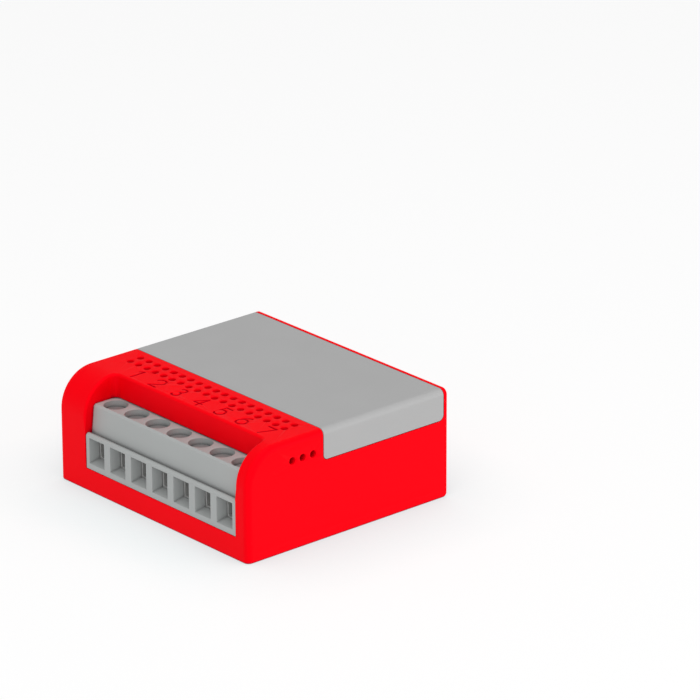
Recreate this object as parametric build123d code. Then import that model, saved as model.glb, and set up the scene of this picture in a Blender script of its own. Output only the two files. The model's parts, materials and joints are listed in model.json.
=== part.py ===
"""Roller shutter switching module for a wall box: red case, grey cover, seven screw terminals
with rising clamps, and the relay, supply and radio electronics inside.
Millimetres. X runs along the terminals, the terminals face -Y, +Z is up.
The origin is the centre of the underside."""

from build123d import *
import math
import os

# Outside of the case
CASE_WIDTH = 44.3
CASE_DEPTH = 39.2
CASE_HEIGHT = 17.5
NOSE_RADIUS = 6.0
EDGE_RADIUS = 1.0
HEEL_RADIUS = 0.75
FINE_EDGE_RADIUS = 0.3

# Walls of the case
SIDE_WALL = 1.5
FRONT_WALL = 1.5
BACK_WALL = 1.5
TOP_WALL = 1.6
FLOOR_WALL = 1.4

# Cover, which is let into the top and sides of the case
COVER_FRONT = 14.75
COVER_RIM = 0.8
COVER_SKIRT = 4.85
COVER_PLATE = 1.4
COVER_FRONT_CORNER = 0.7
COVER_BACK_CORNER = 0.9
COVER_LEDGE_DEPTH = 1.2
COVER_LEDGE_HEIGHT = 1.0
SEAM_GAP = 0.08

# Latches that hold the cover, two on each side
LATCH_WIDTH = 6.0
LATCH_THICKNESS = 1.0
LATCH_REACH = 3.75
LATCH_GAP = 0.1
LATCH_FROM_FRONT = 7.1
LATCH_FROM_BACK = 6.5
BARB_REACH = 0.5
BARB_HEIGHT = 1.0
BARB_ROOM = 0.15

# Posts under the cover that keep the board down
POST_RADIUS = 1.0
POST_FROM_SIDE = 2.85
POST_FROM_BACK = 2.2

# Vent holes
VENT_DIAMETER = 1.15
VENT_PITCH = 2.0
VENT_COLUMNS = 19
TOP_VENT_DEPTHS = (10.7, 12.7)
SIDE_VENT_DEPTHS = (8.7, 10.7, 12.7)
SIDE_VENT_BELOW_TOP = 3.35

# Engraved numbers, one beside each terminal
DIGIT_HEIGHT = 2.7
DIGIT_WIDTH = 1.8
DIGIT_STROKE = 0.3
DIGIT_ENGRAVING = 0.25
DIGIT_BASELINE = 6.85

# Terminal block
POLES = 7
POLE_PITCH = 5.0
BLOCK_OFFSET = 1.8
BLOCK_RECESS = 0.1
BLOCK_BACK = 8.0
BLOCK_GAP = 0.1
LEDGE_ABOVE_BASE = 5.65
LEDGE_DEPTH = 1.15
LIP_DEPTH = 0.6
GROOVE_BELOW_LEDGE = 0.3
SLOPE_RUN = 0.5
CREASE_CHAMFER = 0.3
LIP_CHAMFER = 0.3

# Opening in the case around the terminals
OPENING_BACK = 6.05
OPENING_CORNER = 1.3
OPENING_EDGE = 0.4
OPENING_WALL = 1.3

# Wire entries
ENTRY_WIDTH = 3.6
ENTRY_HEIGHT = 4.15
ENTRY_ABOVE_BASE = 0.9
FUNNEL_WIDTH = 3.2
FUNNEL_HEIGHT = 3.1
FUNNEL_ABOVE_BASE = 1.35

# Terminal screws
SCREW_DEPTH = 4.0
HEAD_DIAMETER = 3.5
HEAD_HEIGHT = 1.2
HEAD_CLEARANCE = 0.125
HEAD_GAP = 0.1
HEAD_RECESS = 0.9
HEAD_CHAMFER = 0.12
SHANK_DIAMETER = 2.5
SLOT_WIDTH = 0.7
SLOT_DEPTH = 0.7
SLOT_ANGLE = 45.0
SCREW_TIP_GAP = 0.05

# Rising clamps
CLAMP_WIDTH = 3.7
CLAMP_SHEET = 0.45
CLAMP_STRAP = 0.5
CLAMP_FRONT = 2.0
CLAMP_BACK = 6.1
CLAMP_ABOVE_BASE = 1.1
CLAMP_WIRE_ROOM = 2.6
NUT_LENGTH = 3.6
NUT_HEIGHT = 1.0
THREAD_CLEARANCE = 0.04
CLAMP_TRAVEL = 1.7
CHAMBER_GAP = 0.25
CHAMBER_END_GAP = 0.1
FLOAT_GAP = 0.05

# Contact bars
BAR_WIDTH = 2.5
BAR_THICKNESS = 0.7
BAR_FRONT = 2.2
BAR_NUT_GAP = 0.1
LEG_THICKNESS = 0.6
LEG_BACK = 7.0
LEG_GAP = 0.05
TAIL_WIDTH = 0.9

# Circuit board
BOARD_THICKNESS = 1.2
BOARD_TOP = 3.7
BOARD_MARGIN = 0.35
BOARD_CORNER = 1.0
BOARD_POST_RADIUS = 1.2
BOARD_POST_FROM_SIDE = 2.05
BOARD_POST_FRONT = 13.5
BOARD_POST_FROM_BACK = 4.0
PIN_BELOW_BOARD = 0.6
PIN_HOLE_GAP = 0.1
SOLDER_HEIGHT = 0.45
SOLDER_SPREAD = 0.4
SOLDER_TIP = 0.13
SOLDER_GAP = 0.02

# Relays, one for each direction of travel
RELAY_WIDTH = 10.0
RELAY_LENGTH = 18.2
RELAY_HEIGHT = 10.6
RELAY_WALL = 0.5
RELAY_CORNER = 0.6
RELAY_BASE = 1.0
RELAY_FRONT = 9.4
RELAY_CENTRES = {"relay_up": -13.5, "relay_down": -2.9}
RELAY_PIN_RADIUS = 0.35
RELAY_PIN_FROM_SIDE = 1.6
RELAY_PIN_FROM_END = 2.0
RELAY_PIN_STEP = 5.0
COIL_RADIUS = 3.0
COIL_LENGTH = 11.0
COIL_FLANGE = 0.8
COIL_FLANGE_SIZE = 7.6

# Supply
CORE_SIZE = (12.6, 5.5, 8.6)
CORE_WINDOW = (2.5, 5.6)
CORE_LEG = 2.4
CORE_YOKE = 1.4
CORE_LIFT = 1.0
CORE_CENTRE = (11.3, 15.0)
COIL_FORM_LENGTH = 11.0
COIL_FORM_RAIL = 1.8
COIL_FORM_GAP = 0.1
COIL_FORM_JOIN = 0.1
SUPPLY_PIN_RADIUS = 0.3
SUPPLY_PIN_FROM_SIDE = 1.2
INPUT_CAPACITOR = (8.0, 11.2, 7.9, 25.2)
OUTPUT_CAPACITOR = (6.3, 8.0, 15.35, 24.7)
VARISTOR = (7.0, 3.4, 5.7, 33.4)
VARISTOR_LIFT = 0.8
FUSE_RESISTOR = (3.2, 6.5, 15.4, 30.2)
FUSE_LIFT = 0.6
FUSE_BEND = 2.6
FUSE_LOOP = 0.8
SNUBBER_SIZE = (4.2, 6.0, 8.4)
SNUBBER_CENTRE = (1.2, 32.5)
SNUBBER_EDGE = 0.3
SNUBBER_PIN_PITCH = 4.0
LEAD_RADIUS = 0.25
CAN_EDGE = 0.3
SLEEVE_GROOVE = 0.35
SLEEVE_GROOVE_DEPTH = 0.245
SLEEVE_GROOVE_HEIGHT = 1.4
DISC_EDGE = 1.1
DISC_PIN_PITCH = 4.7
RESISTOR_EDGE = 0.32

# Chips and radio
BRIDGE_SIZE = (4.6, 3.9, 2.3)
BRIDGE_CENTRE = (10.4, 31.9)
CONTROLLER_SIZE = (4.9, 3.9, 1.5)
CONTROLLER_CENTRE = (-5.4, 30.6)
ISOLATOR_SIZE = (4.4, 2.6, 2.0)
ISOLATOR_CENTRES = ((-16.2, 29.9), (-11.2, 29.9))
CHIP_LEAD = (0.9, 0.35, 0.2)
CHIP_EDGE = 0.15
RADIO_BOARD = (17.0, 1.0, 11.3)
RADIO_BOARD_LEFT = -15.5
RADIO_BOARD_FROM_BACK = 1.8
SHIELD_SIZE = (11.6, 1.7, 9.2)
SHIELD_SHEET = 0.2
SHIELD_ABOVE_BOARD = 0.6
SHIELD_FROM_END = 0.5
RADIO_PROCESSOR = (5.0, 0.8, 5.0)
ANTENNA_WIDTH = 0.5
ANTENNA_PITCH = 1.15
ANTENNA_SPAN = 3.0
ANTENNA_TURNS = 4
ANTENNA_THICKNESS = 0.1
ANTENNA_FROM_SHIELD = 0.9
ANTENNA_ABOVE_BOARD = 1.2
PASSIVE_SIZE = (1.6, 0.8, 0.5)
PASSIVE_PITCH = 1.35
PASSIVE_ROWS = ((-17.2, 33.0, 6), (9.2, 35.9, 4))

BEYOND = 1.0


def behind(depth):
    """Y of a place that lies this far behind the front of the case."""
    return depth - CASE_DEPTH / 2


def brick(x, depth, z):
    """Box between the two values of X, of the depth behind the front, and of Z."""
    size = Box(x[1] - x[0], depth[1] - depth[0], z[1] - z[0])
    return Pos((x[0] + x[1]) / 2, behind((depth[0] + depth[1]) / 2), (z[0] + z[1]) / 2) * size


def seated(size, centre, base):
    """Box of a size that stands on the height base, centred on an X and a depth."""
    x, depth = centre
    return Pos(x, behind(depth), base + size[2] / 2) * Box(*size)


def upright(radius, x, depth, z):
    """Upright cylinder between two heights."""
    return Pos(x, behind(depth), (z[0] + z[1]) / 2) * Cylinder(radius, z[1] - z[0])


def profile_prism(outline, x):
    """Closed outline of (depth, height) points, drawn out between two values of X."""
    points = [(x[0], behind(depth), height) for depth, height in outline]
    return extrude(make_face(Polyline(*points, close=True)), amount=x[1] - x[0], dir=(1, 0, 0))


# Places that several pieces share
INNER_SIDE = CASE_WIDTH / 2 - SIDE_WALL
INNER_BACK = CASE_DEPTH - BACK_WALL
INNER_TOP = CASE_HEIGHT - TOP_WALL
COVER_BACK = CASE_DEPTH - COVER_RIM
COVER_UNDERSIDE = CASE_HEIGHT - COVER_PLATE
COVER_SKIRT_BOTTOM = CASE_HEIGHT - COVER_SKIRT
LATCH_BOTTOM = COVER_SKIRT_BOTTOM - LATCH_REACH
LATCH_DEPTHS = (COVER_FRONT + LATCH_FROM_FRONT, COVER_BACK - LATCH_FROM_BACK)
RADIO_BOARD_DEPTH = INNER_BACK - RADIO_BOARD_FROM_BACK
BLOCK_LEFT = BLOCK_OFFSET - POLES * POLE_PITCH / 2
BLOCK_RIGHT = BLOCK_OFFSET + POLES * POLE_PITCH / 2
POLE_CENTRES = [BLOCK_LEFT + POLE_PITCH * (pole + 0.5) for pole in range(POLES)]
LEDGE = BOARD_TOP + LEDGE_ABOVE_BASE
CLAMP_BASE = BOARD_TOP + CLAMP_ABOVE_BASE
WIRE_FLOOR = CLAMP_BASE + CLAMP_STRAP
BAR_UNDERSIDE = WIRE_FLOOR + CLAMP_WIRE_ROOM
BAR_TOP = BAR_UNDERSIDE + BAR_THICKNESS
NUT_BASE = BAR_TOP + BAR_NUT_GAP
NUT_TOP = NUT_BASE + NUT_HEIGHT
HEAD_BASE = NUT_TOP + CLAMP_TRAVEL + HEAD_GAP
HEAD_TOP = HEAD_BASE + HEAD_HEIGHT
BLOCK_TOP = HEAD_TOP + HEAD_RECESS
LEG_FRONT = LEG_BACK - LEG_THICKNESS
BOARD_BASE = BOARD_TOP - BOARD_THICKNESS
PIN_END = BOARD_BASE - PIN_BELOW_BOARD
HOOD_BASE = BLOCK_TOP + BLOCK_GAP


def outer_form():
    """Outside of the closed case: the deep rounding over the terminals, the heel, then the edges.
    The last fillet starts at the front of the base and runs on round the back."""
    form = brick((-CASE_WIDTH / 2, CASE_WIDTH / 2), (0, CASE_DEPTH), (0, CASE_HEIGHT))
    nose = form.edges().filter_by(Axis.X).group_by(Axis.Z)[-1].sort_by(Axis.Y)[0]
    form = fillet(nose, NOSE_RADIUS)
    heel = form.edges().filter_by(Axis.X).group_by(Axis.Z)[0].sort_by(Axis.Y)[-1]
    form = fillet(heel, HEEL_RADIUS)
    rounded = form.faces().filter_by(Axis.X).edges().filter_by(
        lambda edge: edge.center().Z > HEEL_RADIUS and edge.center().Y < behind(CASE_DEPTH - EDGE_RADIUS))
    form = fillet(rounded, EDGE_RADIUS)
    base_front = form.edges().filter_by(Axis.X).group_by(Axis.Z)[0].sort_by(Axis.Y)[0]
    return fillet(base_front, FINE_EDGE_RADIUS)


def inner_form():
    """Hollow of the case, which keeps the wall even behind the deep rounding."""
    hollow = brick((-INNER_SIDE, INNER_SIDE), (FRONT_WALL, INNER_BACK), (FLOOR_WALL, INNER_TOP))
    nose = hollow.edges().filter_by(Axis.X).group_by(Axis.Z)[-1].sort_by(Axis.Y)[0]
    return fillet(nose, NOSE_RADIUS - max(FRONT_WALL, TOP_WALL))


def cover_outline(gap, x):
    """Prism that the cover fills between its front, its back and its skirts' lower edge."""
    front = COVER_FRONT - gap
    back = COVER_BACK + gap
    bottom = COVER_SKIRT_BOTTOM - gap
    top = CASE_HEIGHT + BEYOND
    prism = profile_prism([(front, bottom), (back, bottom), (back, top), (front, top)], x)
    corners = prism.edges().filter_by(Axis.X).group_by(Axis.Z)[0].sort_by(Axis.Y)
    prism = fillet(corners[0], COVER_FRONT_CORNER + gap)
    corners = prism.edges().filter_by(Axis.X).group_by(Axis.Z)[0].sort_by(Axis.Y)
    return fillet(corners[-1], COVER_BACK_CORNER + gap)


def cover_cut():
    """Room in the case for the cover: the side walls, the way in, and the back rebate."""
    side = INNER_SIDE - SEAM_GAP
    far = CASE_WIDTH / 2 + BEYOND
    cut = cover_outline(SEAM_GAP, (side, far)) + cover_outline(SEAM_GAP, (-far, -side))
    front = COVER_FRONT - SEAM_GAP
    top = CASE_HEIGHT + BEYOND
    way_in = brick((-side, side), (front, INNER_BACK), (INNER_TOP - BEYOND, top))
    rebate = brick((-far, far), (front, COVER_BACK + SEAM_GAP), (COVER_UNDERSIDE - SEAM_GAP, top))
    return cut + way_in + rebate


def terminal_pocket():
    """Walls inside the case that frame the terminal block and close the opening over it."""
    left = BLOCK_LEFT - BLOCK_GAP - OPENING_WALL
    back = BLOCK_BACK + BLOCK_GAP
    hood = brick((left, INNER_SIDE), (FRONT_WALL, OPENING_BACK + OPENING_WALL), (HOOD_BASE, INNER_TOP))
    above_board = BOARD_TOP + BLOCK_GAP
    left_cheek = brick((left, BLOCK_LEFT), (FRONT_WALL, back), (above_board, INNER_TOP))
    right_cheek = brick((BLOCK_RIGHT, INNER_SIDE), (FRONT_WALL, back), (above_board, INNER_TOP))
    return hood + left_cheek + right_cheek


def screw_opening():
    """Opening over the ledge of the block, through which the screws are reached."""
    x = (BLOCK_LEFT - BLOCK_GAP, BLOCK_RIGHT + BLOCK_GAP)
    opening = brick(x, (-BEYOND, OPENING_BACK), (LEDGE, CASE_HEIGHT + BEYOND))
    return fillet(opening.edges().filter_by(Axis.Z).group_by(Axis.Y)[-1], OPENING_CORNER)


def block_space():
    """Space for the block itself, open at the front of the case."""
    x = (BLOCK_LEFT - BLOCK_GAP, BLOCK_RIGHT + BLOCK_GAP)
    return brick(x, (-BEYOND, BLOCK_BACK + BLOCK_GAP), (BOARD_TOP - BLOCK_GAP, HOOD_BASE))


def soften_opening(case):
    """Round the edges where the opening runs out through the front, the rounding and the top."""
    left = BLOCK_LEFT - BLOCK_GAP
    right = BLOCK_RIGHT + BLOCK_GAP
    rim = case.edges().filter_by(
        lambda edge: left - 0.01 <= edge.center().X <= right + 0.01
        and edge.center().Z > LEDGE + 0.01
        and edge.center().Y < behind(OPENING_BACK + 0.01)
        and on_outside(edge)
    )
    return fillet(rim, OPENING_EDGE)


def on_outside(edge):
    """Whether an edge lies on the front, the deep rounding or the top of the case."""
    point = edge.position_at(0.5)
    axis_y = behind(NOSE_RADIUS)
    axis_z = CASE_HEIGHT - NOSE_RADIUS
    if point.Y > axis_y:
        return abs(point.Z - CASE_HEIGHT) < 0.001
    if point.Z < axis_z:
        return abs(point.Y - behind(0)) < 0.001
    return abs(math.hypot(point.Y - axis_y, point.Z - axis_z) - NOSE_RADIUS) < 0.001


def vents():
    """Two rows of round holes in the top, and one row in each side wall."""
    radius = VENT_DIAMETER / 2
    holes = []
    for column in range(VENT_COLUMNS):
        x = (column - (VENT_COLUMNS - 1) / 2) * VENT_PITCH
        for depth in TOP_VENT_DEPTHS:
            holes.append(upright(radius, x, depth, (INNER_TOP - BEYOND, CASE_HEIGHT + BEYOND)))
    for depth in SIDE_VENT_DEPTHS:
        for side in (-1, 1):
            middle = side * (CASE_WIDTH / 2 - SIDE_WALL / 2)
            hole = Cylinder(radius, SIDE_WALL + 2 * BEYOND, rotation=(0, 90, 0))
            holes.append(Pos(middle, behind(depth), CASE_HEIGHT - SIDE_VENT_BELOW_TOP) * hole)
    return holes


def straight(start, end):
    """One straight stroke with round ends."""
    run = math.dist(start, end)
    turn = math.degrees(math.atan2(end[1] - start[1], end[0] - start[0]))
    middle = ((start[0] + end[0]) / 2, (start[1] + end[1]) / 2)
    return Pos(*middle) * SlotCenterToCenter(run, DIGIT_STROKE, rotation=turn)


def curved(centre, radius, start, sweep):
    """One stroke along part of a circle, with round ends."""
    return SlotArc(CenterArc(centre, radius, start, sweep), DIGIT_STROKE)


def digit_strokes(number):
    """Strokes of one plain number, from the lower left corner of its place.
    Their points are shares of the number's width and height, and their angles are degrees."""
    width = DIGIT_WIDTH
    height = DIGIT_HEIGHT
    bowl = width / 2
    if number == 1:
        stem = 0.6 * width
        flag = straight((0.25 * width, 0.82 * height), (stem, height))
        return [flag, straight((stem, height), (stem, 0))]
    if number == 2:
        foot = (0.04 * width, 0)
        neck = (bowl + bowl * math.cos(math.radians(-30)), height - bowl * 1.5)
        bend = curved((bowl, height - bowl), bowl, -30, 195)
        return [bend, straight(neck, foot), straight(foot, (width, 0))]
    if number == 3:
        upper = 0.24 * height
        lower = height / 2 - upper
        return [curved((bowl, height - upper), upper, -90, 240), curved((bowl, lower), lower, -150, 240)]
    if number == 4:
        stem = 0.72 * width
        bar = 0.29 * height
        return [straight((stem, 0), (stem, height)), straight((stem, height), (0, bar)),
                straight((0, bar), (width, bar))]
    if number == 5:
        left = 0.19 * width
        shoulder = (bowl + bowl * math.cos(math.radians(137)), bowl + bowl * math.sin(math.radians(137)))
        return [straight((left, height), (0.9 * width, height)), straight(shoulder, (left, height)),
                curved((bowl, bowl), bowl, -145, 282)]
    if number == 6:
        ring = Circle(bowl + DIGIT_STROKE / 2) - Circle(bowl - DIGIT_STROKE / 2)
        reach = height - bowl
        return [Pos(bowl, bowl) * ring, curved((reach, bowl), reach, 105, 75)]
    return [straight((0, height), (width, height)), straight((width, height), (0.35 * width, 0))]


def engraved_numbers():
    """Grooves that number the terminals, read from the terminals' side."""
    floor = CASE_HEIGHT - DIGIT_ENGRAVING
    grooves = []
    for pole, x in enumerate(POLE_CENTRES):
        place = Pos(x - DIGIT_WIDTH / 2, behind(DIGIT_BASELINE), floor)
        for stroke in digit_strokes(pole + 1):
            grooves.append(place * extrude(stroke, amount=DIGIT_ENGRAVING + BEYOND))
    return grooves


def latch_recesses():
    """Blind pockets inside the side walls that the cover's barbs click into."""
    reach = INNER_SIDE + BARB_REACH + BARB_ROOM
    low = LATCH_BOTTOM + BARB_ROOM
    half = LATCH_WIDTH / 2 + BARB_ROOM
    pockets = []
    for depth in LATCH_DEPTHS:
        for side in (-1, 1):
            x = sorted((side * (INNER_SIDE - LATCH_GAP), side * reach))
            pockets.append(brick(x, (depth - half, depth + half), (low, low + BARB_HEIGHT + BARB_ROOM)))
    return pockets


def board_posts():
    """Short posts on the floor that carry the board."""
    x = INNER_SIDE - BOARD_POST_FROM_SIDE
    posts = []
    for depth in (BOARD_POST_FRONT, INNER_BACK - BOARD_POST_FROM_BACK):
        for side in (-1, 1):
            posts.append(upright(BOARD_POST_RADIUS, side * x, depth, (FLOOR_WALL, BOARD_BASE)))
    return posts


def cover_ledge():
    """Lip under the front part of the top, which the cover's front edge rests on."""
    side = INNER_SIDE - LATCH_THICKNESS
    front = COVER_FRONT - SEAM_GAP - COVER_LEDGE_DEPTH
    back = COVER_FRONT + COVER_LEDGE_DEPTH
    top = COVER_UNDERSIDE - SEAM_GAP
    return brick((-side, side), (front, back), (top - COVER_LEDGE_HEIGHT, top))


def housing():
    """Red case: shell, terminal pocket, cover rebate, vents, numbers, posts and pockets."""
    case = outer_form() - (inner_form() - terminal_pocket())
    case = soften_opening(case - screw_opening()) - block_space()
    case = case - cover_cut() + cover_ledge()
    case = case - vents() - latch_recesses() - engraved_numbers()
    return case + board_posts()


def cover():
    """Grey cover: plate and skirts flush with the case, latches and board posts inside."""
    far = CASE_WIDTH / 2
    shell = outer_form() & cover_outline(0, (-far, far))
    hollow = brick((-INNER_SIDE, INNER_SIDE), (COVER_FRONT - BEYOND, COVER_BACK + BEYOND),
                   (COVER_SKIRT_BOTTOM - BEYOND, COVER_UNDERSIDE))
    lid = shell - hollow
    for depth in LATCH_DEPTHS:
        for side in (-1, 1):
            lid += latch(side, depth)
    post_x = INNER_SIDE - POST_FROM_SIDE
    post_depth = INNER_BACK - POST_FROM_BACK
    for side in (-1, 1):
        lid += upright(POST_RADIUS, side * post_x, post_depth, (BOARD_TOP + FLOAT_GAP, COVER_UNDERSIDE))
    return lid


def latch(side, depth):
    """One springy tongue: a thick root on the skirt, a thin blade and a barb."""
    outside = INNER_SIDE - LATCH_GAP
    inside = outside - LATCH_THICKNESS
    half = LATCH_WIDTH / 2
    ends = (depth - half, depth + half)
    blade = brick(sorted((side * inside, side * outside)), ends, (LATCH_BOTTOM, COVER_UNDERSIDE))
    root = brick(sorted((side * inside, side * INNER_SIDE)), ends,
                 (COVER_SKIRT_BOTTOM + LATCH_GAP, COVER_UNDERSIDE))
    tip = side * (INNER_SIDE + BARB_REACH)
    low = LATCH_BOTTOM + 2 * BARB_ROOM
    points = [(side * outside, low), (tip, low + BARB_HEIGHT - BARB_ROOM),
              (side * outside, low + BARB_HEIGHT - BARB_ROOM)]
    face = make_face(Polyline(*[(x, behind(ends[0]), z) for x, z in points], close=True))
    barb = extrude(face, amount=LATCH_WIDTH, dir=(0, 1, 0))
    return blade + root + barb


def block_profile():
    """Side view of the terminal block: lip, groove, sloping front and flat screw face."""
    lip_back = BLOCK_RECESS + LIP_DEPTH
    slope_foot = BLOCK_RECESS + LEDGE_DEPTH
    groove = LEDGE - GROOVE_BELOW_LEDGE
    return [(BLOCK_RECESS, BOARD_TOP), (BLOCK_RECESS, LEDGE), (lip_back, LEDGE), (lip_back, groove),
            (slope_foot, groove), (slope_foot + SLOPE_RUN, BLOCK_TOP), (BLOCK_BACK, BLOCK_TOP),
            (BLOCK_BACK, BOARD_TOP)]


def entry_funnel(x):
    """Flared mouth of one wire entry, which narrows towards the clamp."""
    mouth_height = BOARD_TOP + ENTRY_ABOVE_BASE + ENTRY_HEIGHT / 2
    mouth = Plane((x, behind(BLOCK_RECESS), mouth_height), (1, 0, 0), (0, 1, 0))
    throat_height = BOARD_TOP + FUNNEL_ABOVE_BASE + FUNNEL_HEIGHT / 2
    throat = Plane((x, behind(CLAMP_FRONT - CHAMBER_END_GAP), throat_height), (1, 0, 0), (0, 1, 0))
    outer = mouth * Rectangle(ENTRY_WIDTH, ENTRY_HEIGHT)
    return loft([outer, throat * Rectangle(FUNNEL_WIDTH, FUNNEL_HEIGHT)])


def clamp_chamber(x):
    """Space in which one clamp rises, with the slot for the contact bar's leg."""
    half = CLAMP_WIDTH / 2 + CHAMBER_GAP
    nut_half = NUT_LENGTH / 2 + CHAMBER_END_GAP
    shoulder = NUT_BASE + CLAMP_TRAVEL + FLOAT_GAP
    ceiling = NUT_TOP + CLAMP_TRAVEL + FLOAT_GAP
    loop = brick((x - half, x + half), (CLAMP_FRONT - CHAMBER_END_GAP, CLAMP_BACK + CHAMBER_END_GAP),
                 (CLAMP_BASE - FLOAT_GAP, shoulder))
    nut = brick((x - half, x + half), (SCREW_DEPTH - nut_half, SCREW_DEPTH + nut_half), (shoulder, ceiling))
    leg_half = BAR_WIDTH / 2 + LEG_GAP
    leg_ends = (CLAMP_BACK, LEG_BACK + LEG_GAP)
    leg = brick((x - leg_half, x + leg_half), leg_ends, (BOARD_TOP - BEYOND, BAR_TOP + LEG_GAP))
    return loop + nut + leg


def terminal_block():
    """Grey moulding with a funnel, a clamp chamber and a screw hole for every pole."""
    block = profile_prism(block_profile(), (BLOCK_LEFT, BLOCK_RIGHT))
    crease = block.edges().filter_by(Axis.X).group_by(Axis.Z)[-1].sort_by(Axis.Y)[0]
    block = chamfer(crease, CREASE_CHAMFER)
    lip = block.edges().filter_by(Axis.X).filter_by(
        lambda edge: abs(edge.center().Z - LEDGE) < 0.01).sort_by(Axis.Y)[0]
    block = chamfer(lip, LIP_CHAMFER)
    for x in POLE_CENTRES:
        hole = upright(HEAD_DIAMETER / 2 + HEAD_CLEARANCE, x, SCREW_DEPTH, (NUT_TOP, BLOCK_TOP + BEYOND))
        block = block - entry_funnel(x) - clamp_chamber(x) - hole
    return block


def terminal_screw(x):
    """Slotted screw whose tip stands on the contact bar."""
    head = upright(HEAD_DIAMETER / 2, x, SCREW_DEPTH, (HEAD_BASE, HEAD_TOP))
    rim = head.edges().group_by(Axis.Z)[-1]
    head = chamfer(rim, HEAD_CHAMFER)
    shank = upright(SHANK_DIAMETER / 2, x, SCREW_DEPTH, (BAR_TOP + SCREW_TIP_GAP, HEAD_BASE))
    slot = Box(HEAD_DIAMETER + BEYOND, SLOT_WIDTH, 2 * SLOT_DEPTH)
    slot = Pos(x, behind(SCREW_DEPTH), HEAD_TOP) * Rot(0, 0, SLOT_ANGLE) * slot
    return head + shank - slot


def clamp_cage(x):
    """Steel loop that lifts the wire against the contact bar, with its threaded top."""
    half = CLAMP_WIDTH / 2
    loop = brick((x - half, x + half), (CLAMP_FRONT, CLAMP_BACK), (CLAMP_BASE, NUT_BASE))
    room = half - CLAMP_SHEET
    ends = (CLAMP_FRONT - BEYOND, CLAMP_BACK + BEYOND)
    window = brick((x - room, x + room), ends, (WIRE_FLOOR, NUT_BASE))
    nut = brick((x - half, x + half), (SCREW_DEPTH - NUT_LENGTH / 2, SCREW_DEPTH + NUT_LENGTH / 2),
                (NUT_BASE, NUT_TOP))
    bore = SHANK_DIAMETER / 2 + THREAD_CLEARANCE
    thread = upright(bore, x, SCREW_DEPTH, (NUT_BASE - BEYOND, NUT_TOP + BEYOND))
    return loop - window + nut - thread


def contact_bar(x):
    """Plated bar over the wire, bent down into a leg and a tail soldered to the board."""
    half = BAR_WIDTH / 2
    bar = brick((x - half, x + half), (BAR_FRONT, LEG_BACK), (BAR_UNDERSIDE, BAR_TOP))
    leg = brick((x - half, x + half), (LEG_FRONT, LEG_BACK), (BOARD_TOP, BAR_TOP))
    tail = brick((x - TAIL_WIDTH / 2, x + TAIL_WIDTH / 2), (LEG_FRONT, LEG_BACK), (PIN_END, BOARD_TOP))
    return bar + leg + tail


def relay_pins(centre):
    """Places of a relay's five pins: two for the coil, three for the contacts."""
    x = RELAY_WIDTH / 2 - RELAY_PIN_FROM_SIDE
    front = RELAY_FRONT + RELAY_PIN_FROM_END
    back = RELAY_FRONT + RELAY_LENGTH - RELAY_PIN_FROM_END
    contacts = back - RELAY_PIN_STEP
    coil_pins = [(centre - x, front), (centre + x, front)]
    return coil_pins + [(centre, back), (centre - x, contacts), (centre + x, contacts)]


def pin_places():
    """Every round pin that goes through the board: X, depth and radius."""
    pins = []
    for centre in RELAY_CENTRES.values():
        pins += [(x, depth, RELAY_PIN_RADIUS) for x, depth in relay_pins(centre)]
    pins += [(x, depth, SUPPLY_PIN_RADIUS) for x, depth in transformer_pins()]
    for diameter, height, x, depth in (INPUT_CAPACITOR, OUTPUT_CAPACITOR):
        pins += [(x - diameter / 4, depth, LEAD_RADIUS), (x + diameter / 4, depth, LEAD_RADIUS)]
    pins += [(x, depth, LEAD_RADIUS) for x, depth in varistor_pins() + resistor_pins()]
    pins += [(x, depth, LEAD_RADIUS) for x, depth in snubber_pins()]
    return pins


def transformer_pins():
    """Places of the transformer's pins, three along each side of its coil form."""
    x, depth = CORE_CENTRE
    step = COIL_FORM_LENGTH / 3
    side = CORE_SIZE[0] / 2 - SUPPLY_PIN_FROM_SIDE
    return [(x + s * side, depth + k * step) for s in (-1, 1) for k in (-1, 0, 1)]


def varistor_pins():
    """Places of the varistor's two leads."""
    x, depth = VARISTOR[2:]
    return [(x, depth - DISC_PIN_PITCH / 2), (x, depth + DISC_PIN_PITCH / 2)]


def snubber_pins():
    """Places of the box capacitor's two leads."""
    x, depth = SNUBBER_CENTRE
    return [(x, depth - SNUBBER_PIN_PITCH / 2), (x, depth + SNUBBER_PIN_PITCH / 2)]


def resistor_pins():
    """Places of the fuse resistor's straight lead and of its bent one."""
    x, depth = FUSE_RESISTOR[2:]
    return [(x, depth), (x, depth + FUSE_BEND)]


def pins_below(places, radius, top):
    """Straight pins from the height top down through the board."""
    return [upright(radius, x, depth, (PIN_END, top)) for x, depth in places]


def circuit_board():
    """Board with a hole for every pin and for every contact bar's tail."""
    half = INNER_SIDE - BOARD_MARGIN
    ends = (FRONT_WALL + BOARD_MARGIN, INNER_BACK - BOARD_MARGIN)
    board = brick((-half, half), ends, (BOARD_BASE, BOARD_TOP))
    board = fillet(board.edges().filter_by(Axis.Z), BOARD_CORNER)
    through = (BOARD_BASE - BEYOND, BOARD_TOP + BEYOND)
    for x, depth, radius in pin_places():
        board -= upright(radius + PIN_HOLE_GAP, x, depth, through)
    for x in POLE_CENTRES:
        board -= upright(tail_hole_radius(), x, (LEG_FRONT + LEG_BACK) / 2, through)
    return board


def tail_hole_radius():
    """Radius of the hole that clears the corners of a contact bar's tail."""
    return math.hypot(TAIL_WIDTH, LEG_THICKNESS) / 2 + PIN_HOLE_GAP


def solder_ring(x, depth, radius):
    """Tapered ring of solder under the board around a round pin or a tail's corners."""
    top = BOARD_BASE
    cone = Cone(radius + SOLDER_GAP + SOLDER_TIP, radius + SOLDER_GAP + SOLDER_SPREAD, SOLDER_HEIGHT)
    ring = Pos(x, behind(depth), top - SOLDER_HEIGHT / 2) * cone
    return ring - upright(radius + SOLDER_GAP, x, depth, (top - BEYOND, top + BEYOND))


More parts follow.
